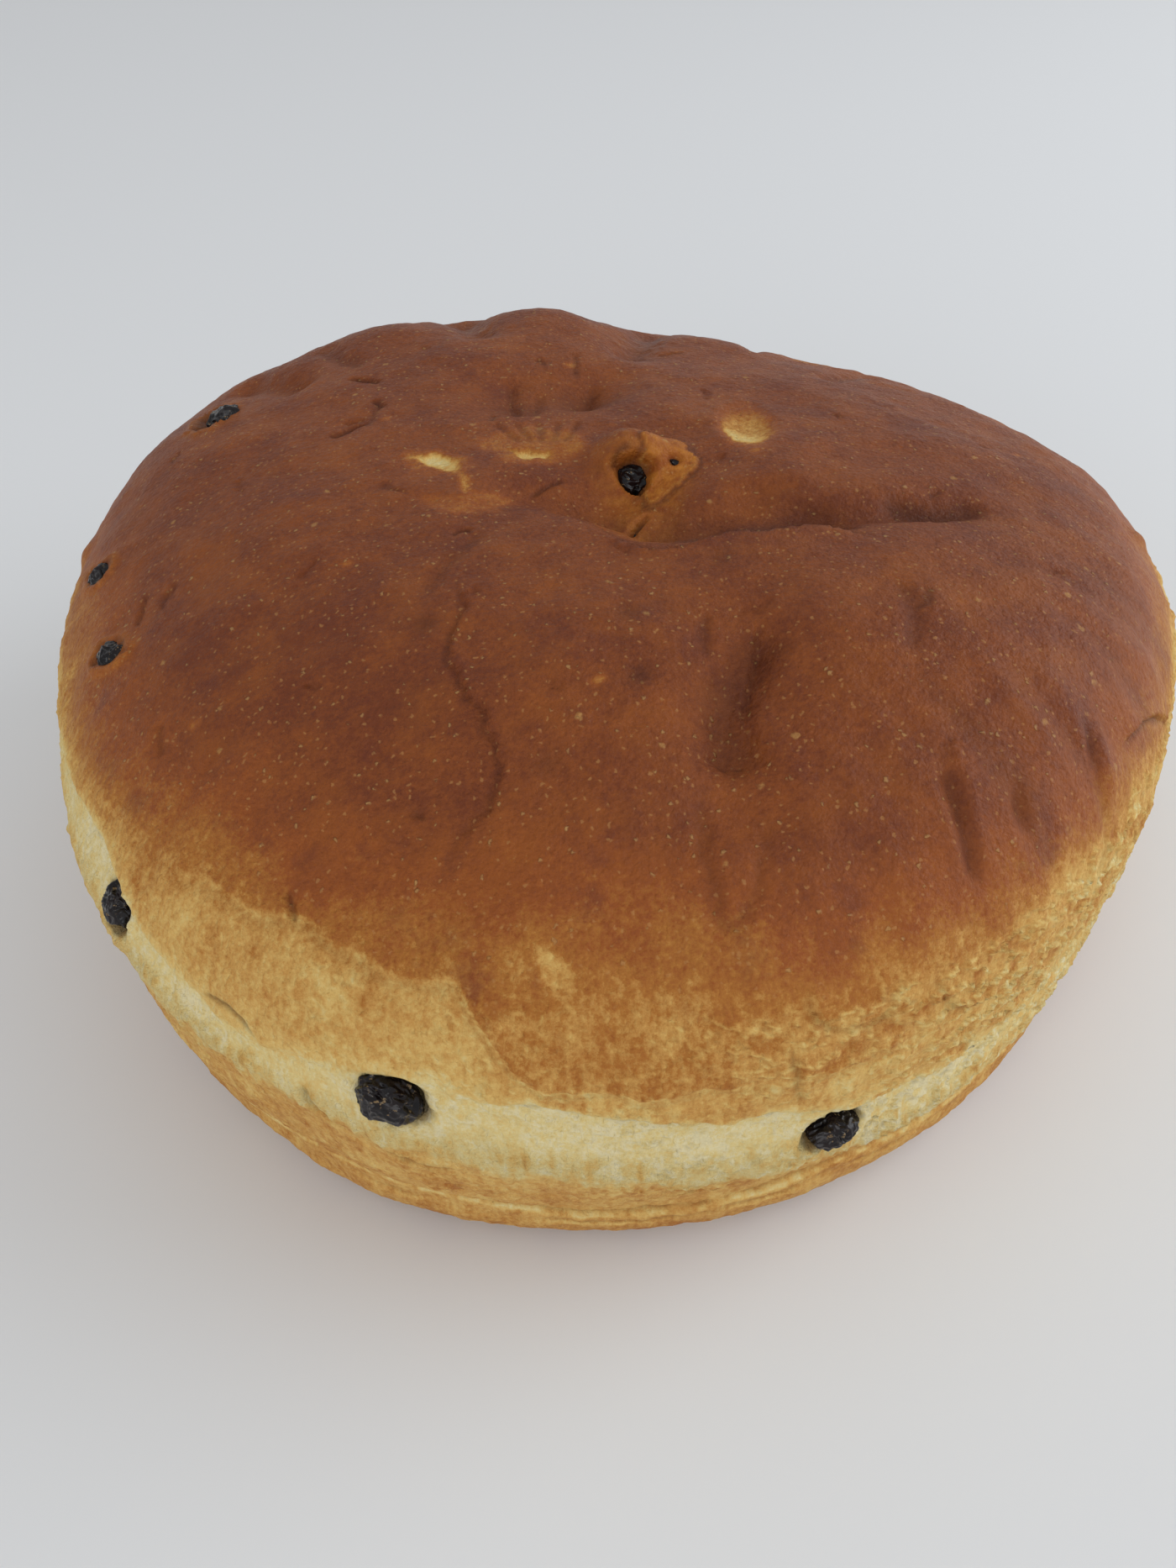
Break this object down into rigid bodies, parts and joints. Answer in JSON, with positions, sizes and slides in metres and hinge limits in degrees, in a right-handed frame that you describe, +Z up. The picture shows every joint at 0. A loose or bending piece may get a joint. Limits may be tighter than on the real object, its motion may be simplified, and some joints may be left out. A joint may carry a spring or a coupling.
{
  "type": "panettone",
  "caption": "Low round sweet bread loaf with a browned domed crust, a pale burst band round the side and raisins showing in the crust; stands on its flat base.",
  "frame": {"origin": "under the middle of the loaf's bounding box, on the surface that its flat base stands on", "axes": "+Z up through the crown; -Y faces the front, where the pale band is widest; +X to the right seen from the front"},
  "size_m": [0.2173, 0.2246, 0.0911],
  "materials": {
    "crust": "baked crust, satin, golden to reddish brown",
    "raisin": "wrinkled dark skin, slightly glossy"
  },
  "bodies": {
    "root": {"loaf": "crust", "raisin_crown": "raisin", "raisin_crown_small": "raisin", "raisin_crown_slit": "raisin", "raisin_back_left_rim": "raisin", "raisin_left_rim": "raisin", "raisin_left_shoulder": "raisin", "raisin_front_left": "raisin", "raisin_front_right": "raisin", "raisin_left_side": "raisin", "raisin_right_side": "raisin", "raisin_back_right": "raisin", "raisin_back": "raisin", "raisin_back_left": "raisin"}
  },
  "joints": []
}
